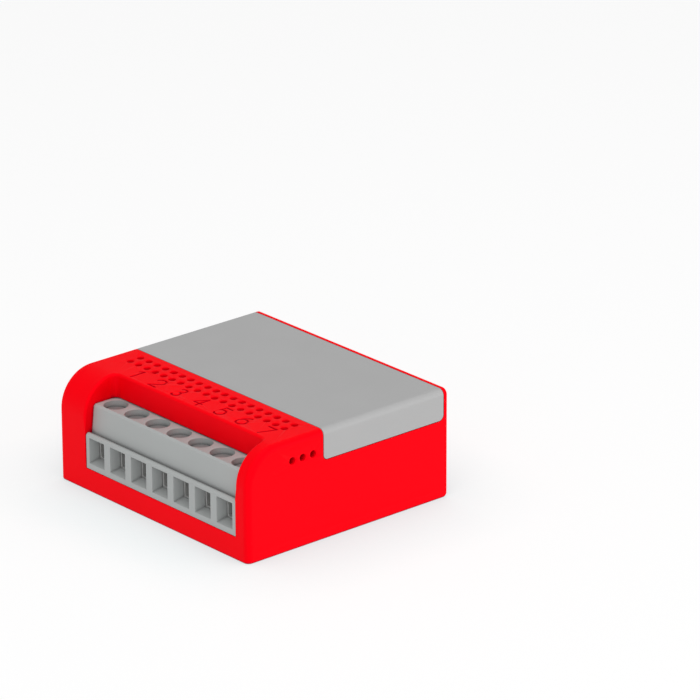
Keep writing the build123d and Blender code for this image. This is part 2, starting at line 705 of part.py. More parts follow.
def solder_joints():
    """Solder around every pin and tail, as separate rings."""
    rings = [solder_ring(x, depth, radius) for x, depth, radius in pin_places()]
    corner = math.hypot(TAIL_WIDTH, LEG_THICKNESS) / 2
    rings += [solder_ring(x, (LEG_FRONT + LEG_BACK) / 2, corner) for x in POLE_CENTRES]
    return Compound(children=rings)


def relay_case(centre):
    """Thin-walled relay housing, open underneath."""
    depth = RELAY_FRONT + RELAY_LENGTH / 2
    outside = seated((RELAY_WIDTH, RELAY_LENGTH, RELAY_HEIGHT), (centre, depth), BOARD_TOP)
    outside = fillet(outside.edges().filter_by(Axis.Z), RELAY_CORNER)
    room = (RELAY_WIDTH - 2 * RELAY_WALL, RELAY_LENGTH - 2 * RELAY_WALL, RELAY_HEIGHT)
    return outside - seated(room, (centre, depth), BOARD_TOP - RELAY_WALL)


def relay_base(centre):
    """Relay floor with its pins, inside the rim of the housing."""
    depth = RELAY_FRONT + RELAY_LENGTH / 2
    inset = 2 * (RELAY_WALL + FLOAT_GAP)
    plate = seated((RELAY_WIDTH - inset, RELAY_LENGTH - inset, RELAY_BASE), (centre, depth), BOARD_TOP)
    for pin in pins_below(relay_pins(centre), RELAY_PIN_RADIUS, BOARD_TOP):
        plate += pin
    return plate


def relay_coil(centre):
    """Coil lying along the relay between two square flanges that stand on its floor."""
    depth = RELAY_FRONT + RELAY_LENGTH / 2
    base = BOARD_TOP + RELAY_BASE
    middle = base + COIL_FLANGE_SIZE / 2
    winding = Cylinder(COIL_RADIUS, COIL_LENGTH, rotation=(90, 0, 0))
    coil = Pos(centre, behind(depth), middle) * winding
    for end in (-1, 1):
        place = (centre, depth + end * (COIL_LENGTH - COIL_FLANGE) / 2)
        coil += seated((COIL_FLANGE_SIZE, COIL_FLANGE, COIL_FLANGE_SIZE), place, base)
    return coil


def transformer_core():
    """Two E-shaped ferrite halves as one closed frame with a middle leg."""
    x, depth = CORE_CENTRE
    base = BOARD_TOP + CORE_LIFT
    core = seated(CORE_SIZE, CORE_CENTRE, base)
    for side in (-1, 1):
        centre = (x + side * (CORE_LEG + CORE_WINDOW[0]) / 2, depth)
        core -= seated((CORE_WINDOW[0], CORE_SIZE[1] + BEYOND, CORE_WINDOW[1]), centre, base + CORE_YOKE)
    return core


def transformer_coil():
    """Coil form on six pins, wound around the core's middle leg."""
    x, depth = CORE_CENTRE
    length = COIL_FORM_LENGTH
    half = CORE_LEG / 2 + CORE_WINDOW[0] - COIL_FORM_GAP
    low = BOARD_TOP + CORE_LIFT + CORE_YOKE + COIL_FORM_GAP
    high = low + CORE_WINDOW[1] - 2 * COIL_FORM_GAP
    form = brick((x - half, x + half), (depth - length / 2, depth + length / 2), (low, high))
    leg_side = CORE_LEG / 2 + COIL_FORM_GAP
    leg_end = CORE_SIZE[1] / 2 + COIL_FORM_GAP
    room = (low - BEYOND, high + BEYOND)
    form -= brick((x - leg_side, x + leg_side), (depth - leg_end, depth + leg_end), room)
    foot = length / 2 - leg_end
    for end in (-1, 1):
        place = (x, depth + end * (length - foot) / 2)
        form += seated((CORE_SIZE[0], foot, low - BOARD_TOP + COIL_FORM_JOIN), place, BOARD_TOP)
    for side in (-1, 1):
        place = (x + side * (CORE_SIZE[0] - COIL_FORM_RAIL) / 2, depth)
        form += seated((COIL_FORM_RAIL, length, CORE_LIFT - COIL_FORM_GAP), place, BOARD_TOP)
    for pin in pins_below(transformer_pins(), SUPPLY_PIN_RADIUS, BOARD_TOP):
        form += pin
    return form


def capacitor(values):
    """Upright can capacitor with the rolled groove near its foot and two leads."""
    diameter, height, x, depth = values
    can = upright(diameter / 2, x, depth, (BOARD_TOP, BOARD_TOP + height))
    can = fillet(can.edges().filter_by(GeomType.CIRCLE), CAN_EDGE)
    ring = Torus(diameter / 2 + SLEEVE_GROOVE - SLEEVE_GROOVE_DEPTH, SLEEVE_GROOVE)
    can = can - Pos(x, behind(depth), BOARD_TOP + SLEEVE_GROOVE_HEIGHT) * ring
    for pin in pins_below([(x - diameter / 4, depth), (x + diameter / 4, depth)], LEAD_RADIUS, BOARD_TOP):
        can += pin
    return can


def varistor():
    """Coated disc standing on edge, with two leads."""
    diameter, thickness, x, depth = VARISTOR
    disc = Cylinder(diameter / 2, thickness, rotation=(0, 90, 0))
    disc = fillet(disc.edges().filter_by(GeomType.CIRCLE), DISC_EDGE)
    middle = BOARD_TOP + VARISTOR_LIFT + diameter / 2
    disc = Pos(x, behind(depth), middle) * disc
    for pin in pins_below(varistor_pins(), LEAD_RADIUS, middle):
        disc += pin
    return disc


def fuse_resistor():
    """Upright round resistor whose upper lead is bent over and down into the board."""
    diameter, length, x, depth = FUSE_RESISTOR
    base = BOARD_TOP + FUSE_LIFT
    body = upright(diameter / 2, x, depth, (base, base + length))
    body = fillet(body.edges().filter_by(GeomType.CIRCLE), RESISTOR_EDGE)
    bend = base + length + FUSE_LOOP
    near = behind(depth)
    far = behind(depth + FUSE_BEND)
    corners = [(x, near, base + length - FUSE_LOOP), (x, near, bend), (x, far, bend), (x, far, PIN_END)]
    path = FilletPolyline(*corners, radius=FUSE_LOOP / 2)
    wire = sweep(Plane(path @ 0, z_dir=path % 0) * Circle(LEAD_RADIUS), path)
    return body + wire + upright(LEAD_RADIUS, x, depth, (PIN_END, base))


def snubber_capacitor():
    """Box film capacitor on two leads."""
    box = seated(SNUBBER_SIZE, SNUBBER_CENTRE, BOARD_TOP)
    box = chamfer(box.edges().group_by(Axis.Z)[-1], SNUBBER_EDGE)
    for pin in pins_below(snubber_pins(), LEAD_RADIUS, BOARD_TOP):
        box += pin
    return box


def leaded_chip(size, centre, leads):
    """Moulded chip on short flat leads along both sides."""
    x, depth = centre
    lift = CHIP_LEAD[2]
    chip = seated((size[0], size[1], size[2] - lift), centre, BOARD_TOP + lift)
    chip = chamfer(chip.edges().group_by(Axis.Z)[-1], CHIP_EDGE)
    pitch = size[0] / leads
    for k in range(leads):
        for side in (-1, 1):
            place = (x + (k - (leads - 1) / 2) * pitch, depth + side * size[1] / 2)
            chip += seated((CHIP_LEAD[1], CHIP_LEAD[0], lift), place, BOARD_TOP)
    return chip


def radio_board():
    """Small board that stands on edge behind the relays."""
    width, thickness, height = RADIO_BOARD
    x = (RADIO_BOARD_LEFT, RADIO_BOARD_LEFT + width)
    return brick(x, (RADIO_BOARD_DEPTH, RADIO_BOARD_DEPTH + thickness), (BOARD_TOP, BOARD_TOP + height))


def radio_shield():
    """Thin steel can over the radio chip, open towards its board."""
    width, reach, height = SHIELD_SIZE
    left = RADIO_BOARD_LEFT + SHIELD_FROM_END
    x = (left, left + width)
    base = BOARD_TOP + SHIELD_ABOVE_BOARD
    can = brick(x, (RADIO_BOARD_DEPTH - reach, RADIO_BOARD_DEPTH), (base, base + height))
    room = brick((x[0] + SHIELD_SHEET, x[1] - SHIELD_SHEET),
                 (RADIO_BOARD_DEPTH - reach + SHIELD_SHEET, RADIO_BOARD_DEPTH + BEYOND),
                 (base + SHIELD_SHEET, base + height - SHIELD_SHEET))
    return can - room


def radio_processor():
    """Chip that runs the module and its radio, under the shield."""
    width, thickness, height = RADIO_PROCESSOR
    x = RADIO_BOARD_LEFT + SHIELD_FROM_END + SHIELD_SIZE[0] / 2
    z = BOARD_TOP + SHIELD_ABOVE_BOARD + SHIELD_SIZE[2] / 2
    return brick((x - width / 2, x + width / 2), (RADIO_BOARD_DEPTH - thickness, RADIO_BOARD_DEPTH),
                 (z - height / 2, z + height / 2))


def radio_antenna():
    """Folded copper track on the free end of the standing board."""
    left = RADIO_BOARD_LEFT + SHIELD_FROM_END + SHIELD_SIZE[0] + ANTENNA_FROM_SHIELD
    depth = (RADIO_BOARD_DEPTH - ANTENNA_THICKNESS, RADIO_BOARD_DEPTH)
    base = BOARD_TOP + ANTENNA_ABOVE_BOARD
    right = left + ANTENNA_SPAN
    track = brick((left, left + ANTENNA_WIDTH), depth, (base, base + ANTENNA_WIDTH))
    for turn in range(2 * ANTENNA_TURNS):
        low = base + turn * ANTENNA_PITCH
        track += brick((left, right), depth, (low, low + ANTENNA_WIDTH))
        if turn < 2 * ANTENNA_TURNS - 1:
            edge = right - ANTENNA_WIDTH if turn % 2 == 0 else left
            track += brick((edge, edge + ANTENNA_WIDTH), depth, (low, low + ANTENNA_PITCH + ANTENNA_WIDTH))
    return track


def chip_components():
    """Small resistors and capacitors on the board, as separate solids in short rows."""
    chips = []
    for left, depth, count in PASSIVE_ROWS:
        for k in range(count):
            place = (left + k * PASSIVE_PITCH, depth)
            size = (PASSIVE_SIZE[1], PASSIVE_SIZE[0], PASSIVE_SIZE[2])
            chips.append(seated(size, place, BOARD_TOP))
    return Compound(children=chips)


def assembly():
    """Every node's name and its solids."""
    nodes = {
        "housing": housing(),
        "cover": cover(),
        "circuit_board": circuit_board(),
        "solder_joints": solder_joints(),
        "terminal_block": terminal_block(),
    }
    for pole, x in enumerate(POLE_CENTRES, start=1):
        nodes[f"terminal_screw_{pole}"] = terminal_screw(x)
        nodes[f"clamp_cage_{pole}"] = clamp_cage(x)
        nodes[f"contact_bar_{pole}"] = contact_bar(x)
    for relay, centre in RELAY_CENTRES.items():
        nodes[f"{relay}_case"] = relay_case(centre)
        nodes[f"{relay}_base"] = relay_base(centre)
        nodes[f"{relay}_coil"] = relay_coil(centre)
    nodes["transformer_core"] = transformer_core()
    nodes["transformer_coil"] = transformer_coil()
    nodes["input_capacitor"] = capacitor(INPUT_CAPACITOR)
    nodes["output_capacitor"] = capacitor(OUTPUT_CAPACITOR)
    nodes["varistor"] = varistor()
    nodes["fuse_resistor"] = fuse_resistor()
    nodes["snubber_capacitor"] = snubber_capacitor()
    nodes["bridge_rectifier"] = leaded_chip(BRIDGE_SIZE, BRIDGE_CENTRE, 2)
    nodes["supply_controller"] = leaded_chip(CONTROLLER_SIZE, CONTROLLER_CENTRE, 4)
    isolators = [leaded_chip(ISOLATOR_SIZE, centre, 2) for centre in ISOLATOR_CENTRES]
    nodes["input_isolators"] = Compound(children=isolators)
    nodes["radio_board"] = radio_board()
    nodes["radio_shield"] = radio_shield()
    nodes["radio_processor"] = radio_processor()
    nodes["radio_antenna"] = radio_antenna()
    nodes["chip_components"] = chip_components()
    return nodes


os.makedirs("parts", exist_ok=True)
for name, solid in assembly().items():
    export_step(solid, f"parts/{name}.step")
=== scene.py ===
"""Looks of a roller shutter switching module for a wall box: red case, grey cover, seven screw terminals
with rising clamps, and the electronics inside, on a pale floor under soft light.
Metres, in the part's own frame: X along the terminals, the terminals face -Y, +Z is up."""

import json
import math

import bmesh
import bpy
from mathutils import Matrix, Vector

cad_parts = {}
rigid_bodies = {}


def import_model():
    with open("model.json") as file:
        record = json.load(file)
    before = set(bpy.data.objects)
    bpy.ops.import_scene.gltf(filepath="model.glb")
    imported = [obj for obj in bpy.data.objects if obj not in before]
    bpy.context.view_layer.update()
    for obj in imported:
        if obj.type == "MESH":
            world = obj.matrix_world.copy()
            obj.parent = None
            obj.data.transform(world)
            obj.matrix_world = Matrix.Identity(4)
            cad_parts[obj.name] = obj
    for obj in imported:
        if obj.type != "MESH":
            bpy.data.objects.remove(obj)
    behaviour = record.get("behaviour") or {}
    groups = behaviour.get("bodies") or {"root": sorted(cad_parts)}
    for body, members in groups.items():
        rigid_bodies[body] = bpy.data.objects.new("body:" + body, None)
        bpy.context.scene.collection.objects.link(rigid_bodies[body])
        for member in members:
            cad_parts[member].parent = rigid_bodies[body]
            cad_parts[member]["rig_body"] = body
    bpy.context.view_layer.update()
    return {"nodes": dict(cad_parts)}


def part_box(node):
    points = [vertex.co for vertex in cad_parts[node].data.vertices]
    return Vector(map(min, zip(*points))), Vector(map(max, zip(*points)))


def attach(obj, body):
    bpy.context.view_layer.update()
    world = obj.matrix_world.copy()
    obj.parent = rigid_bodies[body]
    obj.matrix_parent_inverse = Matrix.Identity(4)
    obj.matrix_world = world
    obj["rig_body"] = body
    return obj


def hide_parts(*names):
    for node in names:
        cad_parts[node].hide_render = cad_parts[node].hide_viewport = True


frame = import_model()
scene = bpy.context.scene

MM = 0.001

# Camera, fitted to the photograph, which is 700 pixels wide
CAMERA_PLACE = Vector((543.17, -452.38, 297.86)) * MM
CAMERA_AZIMUTH = 0.855466
CAMERA_ELEVATION = 0.371900
CAMERA_ROLL = -0.0038926
FOCAL_PIXELS = 5066.7
PICTURE_PIXELS = 700
SENSOR = 36.0
NEAREST_SEEN = 0.01
FURTHEST_SEEN = 20

# Softboxes: name, place, the point that they look at, and power in watts
SOFTBOX_SIZE = 0.5
SOFTBOXES = (
    ("overhead", (0.12, -0.08, 0.62), (0, 0, 0), 1.5),
    ("right_back", (0.66, 0.36, 0.16), (0, 0, 0.01), 2.2),
    ("right_front", (0.5, -0.54, 0.36), (0, 0, 0.01), 1.4),
)
SURROUNDINGS_BRIGHTNESS = 0.55

# Floor: it glows a little, less so near the object, where its glow is darkened as a painted shadow, tinted
# blue-green against the red case's bounce light
FLOOR_HALF_WIDTH = 4.0
FLOOR_GREY = (0.25, 0.25, 0.25, 1)
FLOOR_ROUGHNESS = 0.8
FLOOR_SPECULAR = 0.1
FLOOR_GLOW = 0.73
FLOOR_SHADE = (0.74, 0.86, 0.87)
FLOOR_SHADE_REACH = 18 * MM

# Terminals and their opening in the case
POLES = range(1, 8)
BLOCK_GAP = 0.1 * MM
OPENING_EDGE = 0.4 * MM
FRONT_WALL = 1.5 * MM
SILL_GAP = 0.03 * MM
LEDGE_ABOVE_BOARD = 5.65 * MM

# Inner pieces
BOARD_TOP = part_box("circuit_board")[1].z
CHIP_LEAD_HEIGHT = 0.2 * MM
COIL_FLANGE = 0.8 * MM
WIRE_PITCH = 0.16 * MM
CORE_YOKE = 1.4 * MM
TAPE_PITCH = 1.4 * MM
VARISTOR_LIFT = 0.8 * MM
CAN_RIM = 0.7 * MM
CAN_STRIPE = 0.35
RESISTOR_LIFT = 0.6 * MM
RESISTOR_LENGTH = 6.5 * MM
RESISTOR_BACK = 3.3 * MM
RING_WIDTH = 0.5 * MM
PASSIVE_HALF = 0.8 * MM
PASSIVE_END = 0.32 * MM
PASSIVE_ROW_STEP = 2.9 * MM

# Resistor's rings: place along the body from its lower end, and colour
RESISTOR_RINGS = (
    (0.22, (0.2, 0.07, 0.02)),
    (0.38, (0.02, 0.02, 0.02)),
    (0.54, (0.2, 0.07, 0.02)),
    (0.78, (0.55, 0.4, 0.12)),
)

# Board: copper areas for each millimetre, the noise value over which a cell is one, and the tracks between
COPPER_AREAS = 0.33
COPPER_AREA_LIMIT = 0.5
TRACK_PITCH = 0.75 * MM
TRACK_LIMIT = 0.6
BARE_RESIST = (0.013, 0.115, 0.045)
RESIST_ON_COPPER = (0.025, 0.2, 0.08)

# Finishes: noise in features for each millimetre, and how far the tint and the roughness go to either side
MOULD_FLOW, MOULD_TINT = 0.12, 0.012
MOULD_GRAIN, MOULD_SPREAD = 9.0, 0.03
PLATING_CLOUDS, PLATING_TINT = 1.2, 0.06
PLATING_GRAIN, PLATING_SPREAD = 4.0, 0.07
LAYER_CLOUDS, LAYER_TINT = 0.8, 0.05
LAYER_GRAIN, LAYER_SPREAD = 7.0, 0.04
RESIST_GRAIN, RESIST_SPREAD = 5.0, 0.05
DARKEST_AT, LIGHTEST_AT = 0.3, 0.7
FINE_RELIEF = 0.02 * MM
COARSE_RELIEF = 0.03 * MM
CREVICE_SAMPLES = 8

# Length of one wave of the wave texture at a scale of 1
WAVE_LENGTH = math.pi / 10

# Cleaning of the meshes
WELD = 0.0005 * MM
FLAT_ANGLE = math.radians(0.3)
SHARP_ANGLE = math.radians(32)
ON_PLACE = 0.02 * MM

# Finishes that show on parts of a piece: colour, roughness and share of metal
TINNED_LEAD = ((0.72, 0.7, 0.66), 0.32, 1)
BARE_ALUMINIUM = ((0.75, 0.76, 0.78), 0.3, 1)
BLACK_PHENOLIC = ((0.03, 0.028, 0.026), 0.45, 0)
WHITE_NYLON = ((0.68, 0.65, 0.56), 0.4, 0)
GREY_STRIPE = ((0.45, 0.47, 0.5), 0.3, 0)


# Parts of a material

def new_material(name):
    """Empty material with its shader, and functions that add a node with its inputs set, and link two."""
    material = bpy.data.materials.new(name)
    material.use_nodes = True
    tree = material.node_tree

    def add(kind, **inputs):
        node = tree.nodes.new(kind)
        for key, value in inputs.items():
            node.inputs[key.replace("_", " ")].default_value = value
        return node

    def link(source, target):
        tree.links.new(source, target)

    return material, tree.nodes["Principled BSDF"], add, link


def speckle(add, link, own, scale, detail=2.0):
    """Noise on the piece's own coordinates, at a scale in features per millimetre."""
    noise = add("ShaderNodeTexNoise", Scale=scale / MM, Detail=detail)
    link(own, noise.inputs["Vector"])
    return noise.outputs["Fac"]


def varied(add, link, factor, centre, spread):
    """A value that follows the factor to either side of its centre."""
    to_range = add("ShaderNodeMapRange", To_Min=centre - spread, To_Max=centre + spread)
    link(factor, to_range.inputs["Value"])
    return to_range.outputs["Result"]


def tinted(add, link, factor, colour, change):
    """The colour, a little darker and lighter along the factor."""
    ramp = add("ShaderNodeValToRGB")
    dark, light = ramp.color_ramp.elements
    dark.position, light.position = DARKEST_AT, LIGHTEST_AT
    dark.color = (*[c * (1 - change) for c in colour], 1)
    light.color = (*[min(1, c * (1 + change)) for c in colour], 1)
    link(factor, ramp.inputs["Fac"])
    return ramp.outputs["Color"]


def blended(add, link, factor, first, second):
    """One colour at a factor of zero and the other at one; each is a plain colour or an output."""
    mix = add("ShaderNodeMix")
    mix.data_type = "RGBA"
    link(factor, mix.inputs["Factor"])
    for place, colour in ((6, first), (7, second)):
        if isinstance(colour, tuple):
            mix.inputs[place].default_value = (*colour, 1)
        else:
            link(colour, mix.inputs[place])
    return mix.outputs[2]


def painted_crevice_shade(add, link, colour, shade_colour, reach, closed=0.35, clear=0.75):
    """Painted shade: the colour, going over to a darker shade colour where the surface is closed in by others
    within a reach.
    """
    near = add("ShaderNodeAmbientOcclusion", Distance=reach)
    near.samples = CREVICE_SAMPLES
    open_share = add("ShaderNodeMapRange", From_Min=closed, From_Max=clear)
    link(near.outputs["AO"], open_share.inputs["Value"])
    return blended(add, link, open_share.outputs["Result"], shade_colour, colour)


def raised(add, link, shader, height, strength, relief):
    """Relief of the surface along a height."""
    bump = add("ShaderNodeBump", Strength=strength, Distance=relief)
    link(height, bump.inputs["Height"])
    link(bump.outputs["Normal"], shader.inputs["Normal"])


def worked(add, link, operation, first, second=0.0):
    """One sum on a value, with a plain number or another value."""
    node = add("ShaderNodeMath")
    node.operation = operation
    link(first, node.inputs[0])
    if isinstance(second, (int, float)):
        node.inputs[1].default_value = second
    else:
        link(second, node.inputs[1])
    return node.outputs[0]


def coordinate(add, link, own, axis):
    """One coordinate of the piece's own place."""
    split = add("ShaderNodeSeparateXYZ")
    link(own, split.inputs["Vector"])
    return split.outputs[axis]


# Places on a piece

def below(axis, limit):
    """Where a coordinate is under a limit."""
    return lambda add, link, own: worked(add, link, "LESS_THAN", coordinate(add, link, own, axis), limit)


def above(axis, limit):
    """Where a coordinate is over a limit."""
    return lambda add, link, own: worked(add, link, "GREATER_THAN", coordinate(add, link, own, axis), limit)


def both(first, second):
    """Where two places meet."""
    return lambda add, link, own: worked(add, link, "MULTIPLY", first(add, link, own), second(add, link, own))


def far_from(axis, centre, reach):
    """Where a coordinate is further than a reach from a centre."""
    def mask(add, link, own):
        offset = worked(add, link, "SUBTRACT", coordinate(add, link, own, axis), centre)
        return worked(add, link, "GREATER_THAN", worked(add, link, "ABSOLUTE", offset), reach)
    return mask


def repeated_far(axis, centre, step, reach):
    """Where a coordinate is further than a reach from the nearest of several centres, a step apart."""
    def mask(add, link, own):
        offset = worked(add, link, "SUBTRACT", coordinate(add, link, own, axis), centre - step / 2)
        within = worked(add, link, "FLOORED_MODULO", offset, step)
        distance = worked(add, link, "ABSOLUTE", worked(add, link, "SUBTRACT", within, step / 2))
        return worked(add, link, "GREATER_THAN", distance, reach)
    return mask


def inside_round(centre, radius):
    """Where a place is nearer than a radius to an upright axis."""
    def mask(add, link, own):
        x = worked(add, link, "SUBTRACT", coordinate(add, link, own, "X"), centre.x)
        y = worked(add, link, "SUBTRACT", coordinate(add, link, own, "Y"), centre.y)
        squares = worked(add, link, "ADD", worked(add, link, "MULTIPLY", x, x), worked(add, link, "MULTIPLY", y, y))
        return worked(add, link, "LESS_THAN", squares, radius * radius)
    return mask


def turns(axis, pitch):
    """Relief of wire turns or tape edges, a pitch apart along an axis."""
    def waves(add, link, own):
        wave = add("ShaderNodeTexWave", Scale=WAVE_LENGTH / pitch, Distortion=0.0)
        wave.bands_direction = axis
        link(own, wave.inputs["Vector"])
        return wave.outputs["Fac"]
    return waves


# Whole materials

def moulded(name, colour, roughness, grain=0.02, specular=0.5, gloss_tint=(1, 1, 1), shade_colour=None, reach=0.5 * MM):
    """Moulded plastic: an even colour with a faint flow, and the fine spark-eroded grain of the mould; with a shade
    colour, painted shade darkens it where it is closed in.
    """
    material, shader, add, link = new_material(name)
    own = add("ShaderNodeTexCoord").outputs["Object"]
    even = tinted(add, link, speckle(add, link, own, MOULD_FLOW), colour, MOULD_TINT)
    # Painted shade darkens the colour in vents, grooves and seams when a shade colour is given.
    link(painted_crevice_shade(add, link, even, shade_colour, reach) if shade_colour else even, shader.inputs["Base Color"])
    fine = speckle(add, link, own, MOULD_GRAIN, 3.0)
    link(varied(add, link, fine, roughness, MOULD_SPREAD), shader.inputs["Roughness"])
    raised(add, link, shader, fine, grain, FINE_RELIEF)
    shader.inputs["Specular IOR Level"].default_value = specular
    shader.inputs["Specular Tint"].default_value = (*gloss_tint, 1)
    return material


def metal(name, colour, roughness, share=1.0):
    """Plated metal with a slightly uneven gloss."""
    material, shader, add, link = new_material(name)
    own = add("ShaderNodeTexCoord").outputs["Object"]
    cloudy = speckle(add, link, own, PLATING_CLOUDS, 3.0)
    link(tinted(add, link, cloudy, colour, PLATING_TINT), shader.inputs["Base Color"])
    fine = speckle(add, link, own, PLATING_GRAIN, 4.0)
    link(varied(add, link, fine, roughness, PLATING_SPREAD), shader.inputs["Roughness"])
    raised(add, link, shader, fine, 0.03, FINE_RELIEF)
    shader.inputs["Metallic"].default_value = share
    return material


def layered(name, base, layers, relief=None):
    """Several finishes on one piece: each layer's finish covers the ones before it where its mask says.
    A finish is a colour, a roughness and a share of metal."""
    material, shader, add, link = new_material(name)
    own = add("ShaderNodeTexCoord").outputs["Object"]
    cloudy = speckle(add, link, own, LAYER_CLOUDS, 3.0)
    fine = speckle(add, link, own, LAYER_GRAIN, 3.0)
    colour = tinted(add, link, cloudy, base[0], LAYER_TINT)
    gloss = varied(add, link, fine, base[1], LAYER_SPREAD)
    shine = None
    for mask, (layer_colour, layer_roughness, layer_metal) in layers:
        factor = mask(add, link, own)
        colour = blended(add, link, factor, colour, tinted(add, link, cloudy, layer_colour, LAYER_TINT))
        change = worked(add, link, "MULTIPLY", factor, layer_roughness - base[1])
        gloss = worked(add, link, "ADD", gloss, change)
        if layer_metal:
            shine = factor if shine is None else worked(add, link, "MAXIMUM", shine, factor)
    link(colour, shader.inputs["Base Color"])
    link(gloss, shader.inputs["Roughness"])
    if shine is not None:
        link(shine, shader.inputs["Metallic"])
    if relief:
        raised(add, link, shader, relief(add, link, own), 0.4, COARSE_RELIEF)
    else:
        raised(add, link, shader, fine, 0.02, COARSE_RELIEF)
    return material


def board_resist(name):
    """Green resist, lighter and raised where copper lies under it: in areas, and in narrow tracks between."""
    material, shader, add, link = new_material(name)
    own = add("ShaderNodeTexCoord").outputs["Object"]
    cells = add("ShaderNodeTexVoronoi", Scale=COPPER_AREAS / MM, Randomness=0.9)
    cells.distance = "MANHATTAN"
    link(own, cells.inputs["Vector"])
    split = add("ShaderNodeSeparateColor")
    link(cells.outputs["Color"], split.inputs["Color"])
    area = worked(add, link, "GREATER_THAN", split.outputs["Red"], COPPER_AREA_LIMIT)
    track = worked(add, link, "GREATER_THAN", turns("X", TRACK_PITCH)(add, link, own), TRACK_LIMIT)
    copper = worked(add, link, "MAXIMUM", area, track)
    link(blended(add, link, copper, BARE_RESIST, RESIST_ON_COPPER), shader.inputs["Base Color"])
    fine = speckle(add, link, own, RESIST_GRAIN)
    link(varied(add, link, fine, 0.3, RESIST_SPREAD), shader.inputs["Roughness"])
    raised(add, link, shader, copper, 0.3, COARSE_RELIEF)
    return material


def middle(node):
    """Centre of a CAD node's box."""
    low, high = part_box(node)
    return (low + high) / 2


def can_capacitor(node):
    """Shrunk sleeve with a stripe down one side, the bare top of the can, and tinned leads."""
    low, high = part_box(node)
    radius = (high.x - low.x) / 2
    top = both(above("Z", high.z - ON_PLACE), inside_round(middle(node), radius - CAN_RIM))
    stripe = below("X", low.x + CAN_STRIPE * radius)
    return layered(node + "_sleeve", ((0.012, 0.02, 0.06), 0.28, 0),
                   [(stripe, GREY_STRIPE), (top, BARE_ALUMINIUM), (below("Z", BOARD_TOP), TINNED_LEAD)])


def relay_winding(node):
    """Enamelled turns between two nylon flanges."""
    low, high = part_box(node)
    half = (high.y - low.y) / 2 - COIL_FLANGE
    return layered(node + "_turns", ((0.42, 0.13, 0.045), 0.3, 0),
                   [(far_from("Y", middle(node).y, half), WHITE_NYLON)], turns("Y", WIRE_PITCH))


def coated_resistor():
    """Cement-coated body with four rings, between its bare leads."""
    body_base = BOARD_TOP + RESISTOR_LIFT
    body_top = body_base + RESISTOR_LENGTH
    body_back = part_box("fuse_resistor")[0].y + RESISTOR_BACK
    layers = []
    for share, colour in RESISTOR_RINGS:
        height = body_base + share * (body_top - body_base)
        ring = both(above("Z", height), below("Z", height + RING_WIDTH))
        layers.append((ring, (colour, 0.4, 0)))
    for bare in (above("Z", body_top), below("Z", body_base), above("Y", body_back)):
        layers.append((bare, TINNED_LEAD))
    return layered("resistor_coating", ((0.36, 0.45, 0.38), 0.55, 0), layers)


# Painted shade: each plastic's second, darker colour is laid where the surface is closed in, in vents, grooves,
# seams and terminal entries.
RED = moulded("red_case_plastic", (0.93, 0.0, 0.004), 0.5, specular=0.04, gloss_tint=(1, 0.3, 0.9),
              shade_colour=(0.45, 0.0, 0.01), reach=1.1 * MM)
GREY = moulded("grey_cover_plastic", (0.38, 0.38, 0.38), 0.45, specular=0.25, shade_colour=(0.14, 0.13, 0.13))
TERMINAL_GREY = moulded("grey_terminal_plastic", (0.38, 0.394, 0.39), 0.5, specular=0.25,
                        shade_colour=(0.17, 0.17, 0.17), reach=0.9 * MM)
ZINC = metal("zinc_plated_steel", (0.26, 0.27, 0.27), 0.5, share=0.4)
CLAMP_STEEL = metal("nickel_plated_steel", (0.56, 0.56, 0.55), 0.4, share=0.5)
TIN = metal("tinned_copper", (0.72, 0.7, 0.66), 0.35)
SOLDER = metal("solder", (0.7, 0.7, 0.72), 0.25)
SHIELD = metal("tinned_shield_sheet", (0.66, 0.66, 0.66), 0.35)
COPPER = metal("copper_track", (0.75, 0.42, 0.2), 0.35)
BOARD_GREEN = board_resist("solder_resist")
RELAY_BLACK = moulded("black_relay_plastic", (0.02, 0.02, 0.022), 0.3, grain=0.03)
RELAY_BASE = layered("relay_base_and_pins", BLACK_PHENOLIC, [(below("Z", BOARD_TOP), TINNED_LEAD)])
FERRITE = moulded("ferrite", (0.05, 0.05, 0.055), 0.6, grain=0.08)
CORE_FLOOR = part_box("transformer_core")[0].z + CORE_YOKE + ON_PLACE
TAPE = layered("taped_winding", ((0.74, 0.55, 0.09), 0.3, 0),
               [(below("Z", CORE_FLOOR), BLACK_PHENOLIC), (below("Z", BOARD_TOP), TINNED_LEAD)],
               turns("Z", TAPE_PITCH))
BLUE = layered("blue_disc_coating", ((0.03, 0.1, 0.36), 0.35, 0),
               [(below("Z", BOARD_TOP + VARISTOR_LIFT), TINNED_LEAD)])
YELLOW = layered("yellow_capacitor_box", ((0.75, 0.52, 0.06), 0.35, 0), [(below("Z", BOARD_TOP), TINNED_LEAD)])
EPOXY = layered("black_chip_epoxy", ((0.028, 0.028, 0.03), 0.5, 0),
                [(below("Z", BOARD_TOP + CHIP_LEAD_HEIGHT), TINNED_LEAD)])
PROCESSOR_BLACK = moulded("processor_epoxy", (0.028, 0.028, 0.03), 0.5, grain=0.03)
CHIP_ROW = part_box("chip_components")[0].y + PASSIVE_HALF
CERAMIC = layered("chip_ceramic", ((0.42, 0.32, 0.22), 0.45, 0),
                  [(repeated_far("Y", CHIP_ROW, PASSIVE_ROW_STEP, PASSIVE_HALF - PASSIVE_END), TINNED_LEAD)])


# Meshes

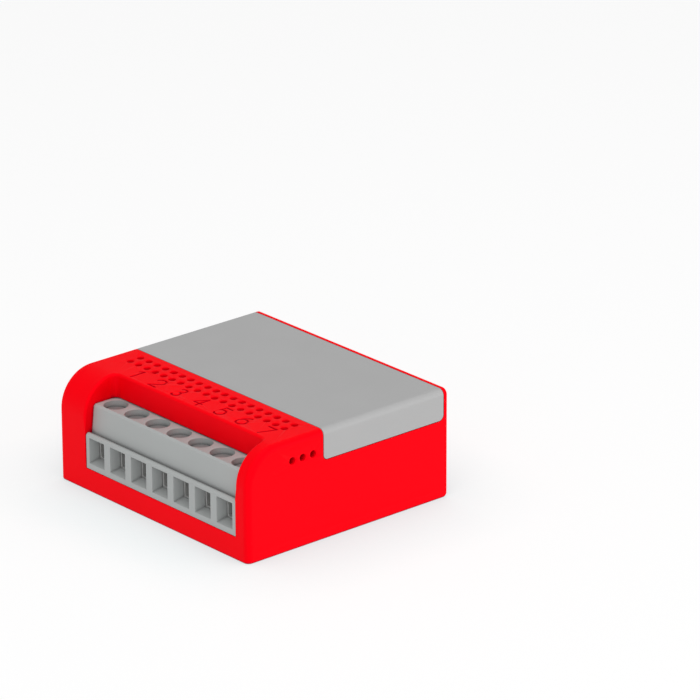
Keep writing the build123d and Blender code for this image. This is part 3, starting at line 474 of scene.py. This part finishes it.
def fit_opening(shape):
    """Close the opening's sill up to the terminals, and let the rounding of its two front edges
    run out to a point at their ledge."""
    block_low, block_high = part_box("terminal_block")
    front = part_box("housing")[0].y
    ledge = BOARD_TOP + LEDGE_ABOVE_BOARD
    for vertex in shape.verts:
        if abs(vertex.co.z - block_low.z + BLOCK_GAP) < ON_PLACE and vertex.co.y < front + FRONT_WALL + ON_PLACE:
            vertex.co.z = block_low.z - SILL_GAP
    for cheek, direction in ((block_low.x - BLOCK_GAP, -1), (block_high.x + BLOCK_GAP, 1)):
        for vertex in shape.verts:
            out = (vertex.co.x - cheek) * direction
            back = vertex.co.y - front
            if (abs(vertex.co.z - ledge) < ON_PLACE and -ON_PLACE < out < OPENING_EDGE + ON_PLACE
                    and back < OPENING_EDGE + ON_PLACE):
                vertex.co.x = cheek
                vertex.co.y = front
    bmesh.ops.remove_doubles(shape, verts=shape.verts, dist=WELD)
    bmesh.ops.dissolve_degenerate(shape, dist=WELD, edges=shape.edges)


def split_many_sided(shape):
    """Split faces with many sides into triangles, so that a face round a hole never covers it."""
    many_sided = [face for face in shape.faces if len(face.verts) > 4]
    bmesh.ops.triangulate(shape, faces=many_sided, quad_method="BEAUTY", ngon_method="BEAUTY")


def refined(node, material, edge, reshape=None):
    """A cleaned copy of a CAD node, with its sharp edges rounded, that stands for it."""
    source = frame["nodes"][node]
    shape = bmesh.new()
    shape.from_mesh(source.data)
    bmesh.ops.remove_doubles(shape, verts=shape.verts, dist=WELD)
    if reshape:
        reshape(shape)
    bmesh.ops.dissolve_limit(shape, angle_limit=FLAT_ANGLE, verts=shape.verts, edges=shape.edges)
    split_many_sided(shape)
    if edge:
        sharp = [e for e in shape.edges if e.is_manifold and e.calc_face_angle() > SHARP_ANGLE]
        bmesh.ops.bevel(shape, geom=sharp, offset=edge, offset_type="OFFSET", segments=2, profile=0.5,
                        affect="EDGES", clamp_overlap=False, material=-1, loop_slide=False)
    split_many_sided(shape)
    for face in shape.faces:
        face.smooth = True
    for e in shape.edges:
        e.smooth = not (e.is_manifold and e.calc_face_angle() > SHARP_ANGLE)
    mesh = bpy.data.meshes.new(node + "_finished")
    shape.to_mesh(mesh)
    shape.free()
    mesh.materials.append(material)
    piece = bpy.data.objects.new(node + "_finished", mesh)
    scene.collection.objects.link(piece)
    piece.modifiers.new("even_shading", "WEIGHTED_NORMAL").keep_sharp = True
    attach(piece, source["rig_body"])
    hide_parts(node)


refined("housing", RED, 0.07 * MM, reshape=fit_opening)
refined("cover", GREY, 0.07 * MM)
refined("terminal_block", TERMINAL_GREY, 0.035 * MM)
for pole in POLES:
    refined(f"terminal_screw_{pole}", ZINC, 0.04 * MM)
    refined(f"clamp_cage_{pole}", CLAMP_STEEL, 0.08 * MM)
    refined(f"contact_bar_{pole}", TIN, 0.06 * MM)
for relay in ("relay_up", "relay_down"):
    refined(f"{relay}_case", RELAY_BLACK, 0.15 * MM)
    refined(f"{relay}_base", RELAY_BASE, 0.05 * MM)
    refined(f"{relay}_coil", relay_winding(f"{relay}_coil"), 0.1 * MM)
for node, material, slot, edge in (
    ("circuit_board", BOARD_GREEN, "circuit_board", 0.04),
    ("solder_joints", SOLDER, "solder", 0.0),
    ("transformer_core", FERRITE, "ferrite", 0.15),
    ("transformer_coil", TAPE, "coil_form", 0.06),
    ("input_capacitor", can_capacitor("input_capacitor"), "capacitor_sleeve", 0.0),
    ("output_capacitor", can_capacitor("output_capacitor"), "capacitor_sleeve", 0.0),
    ("varistor", BLUE, "blue_coating", 0.0),
    ("fuse_resistor", coated_resistor(), "resistor_coating", 0.0),
    ("snubber_capacitor", YELLOW, "yellow_box", 0.05),
    ("bridge_rectifier", EPOXY, "black_epoxy", 0.04),
    ("supply_controller", EPOXY, "black_epoxy", 0.04),
    ("input_isolators", EPOXY, "black_epoxy", 0.04),
    ("radio_board", BOARD_GREEN, "circuit_board", 0.05),
    ("radio_shield", SHIELD, "shield_steel", 0.06),
    ("radio_processor", PROCESSOR_BLACK, "black_epoxy", 0.05),
    ("radio_antenna", COPPER, "copper", 0.0),
    ("chip_components", CERAMIC, "chip_ceramic", 0.05),
):
    refined(node, material, edge * MM)


# Floor, light and camera

def floor():
    """Wide pale floor under the object, with a painted shadow darkening its glow near the object."""
    shape = bmesh.new()
    bmesh.ops.create_grid(shape, x_segments=1, y_segments=1, size=FLOOR_HALF_WIDTH)
    mesh = bpy.data.meshes.new("floor")
    shape.to_mesh(mesh)
    shape.free()
    material, shader, add, link = new_material("pale_floor")
    shader.inputs["Base Color"].default_value = FLOOR_GREY
    shader.inputs["Roughness"].default_value = FLOOR_ROUGHNESS
    shader.inputs["Specular IOR Level"].default_value = FLOOR_SPECULAR
    # Painted shadow: the floor's glow goes over to the shade colour where the object closes it in.
    glow = painted_crevice_shade(add, link, (1, 1, 1), FLOOR_SHADE, FLOOR_SHADE_REACH, closed=0.5, clear=1.0)
    link(glow, shader.inputs["Emission Color"])
    shader.inputs["Emission Strength"].default_value = FLOOR_GLOW
    mesh.materials.append(material)
    piece = bpy.data.objects.new("floor", mesh)
    scene.collection.objects.link(piece)


def softbox(name, place, aim, power):
    """Square area light that looks at a point."""
    light = bpy.data.lights.new(name, "AREA")
    light.shape = "SQUARE"
    light.size = SOFTBOX_SIZE
    light.energy = power
    lamp = bpy.data.objects.new(name, light)
    lamp.location = place
    lamp.rotation_euler = (Vector(place) - Vector(aim)).to_track_quat("Z", "Y").to_euler()
    scene.collection.objects.link(lamp)


def surroundings():
    """Even white surroundings."""
    world = bpy.data.worlds.new("studio")
    world.use_nodes = True
    background = world.node_tree.nodes["Background"]
    background.inputs["Color"].default_value = (1, 1, 1, 1)
    background.inputs["Strength"].default_value = SURROUNDINGS_BRIGHTNESS
    scene.world = world


def camera():
    """Camera at the photograph's place, turn and lens."""
    back = Vector((math.sin(CAMERA_AZIMUTH) * math.cos(CAMERA_ELEVATION),
                   -math.cos(CAMERA_AZIMUTH) * math.cos(CAMERA_ELEVATION), math.sin(CAMERA_ELEVATION)))
    level = (-back).cross(Vector((0, 0, 1))).normalized()
    upright = level.cross(-back)
    right = level * math.cos(CAMERA_ROLL) + upright * math.sin(CAMERA_ROLL)
    up = upright * math.cos(CAMERA_ROLL) - level * math.sin(CAMERA_ROLL)
    turn = Matrix((right, up, back)).transposed().to_4x4()
    lens = bpy.data.cameras.new("camera")
    lens.sensor_fit = "HORIZONTAL"
    lens.sensor_width = SENSOR
    lens.lens = FOCAL_PIXELS * SENSOR / PICTURE_PIXELS
    lens.clip_start = NEAREST_SEEN
    lens.clip_end = FURTHEST_SEEN
    view = bpy.data.objects.new("camera", lens)
    view.matrix_world = Matrix.Translation(CAMERA_PLACE) @ turn
    scene.collection.objects.link(view)
    scene.camera = view


scene.view_settings.view_transform = "Standard"
floor()
surroundings()
for box in SOFTBOXES:
    softbox(*box)
camera()
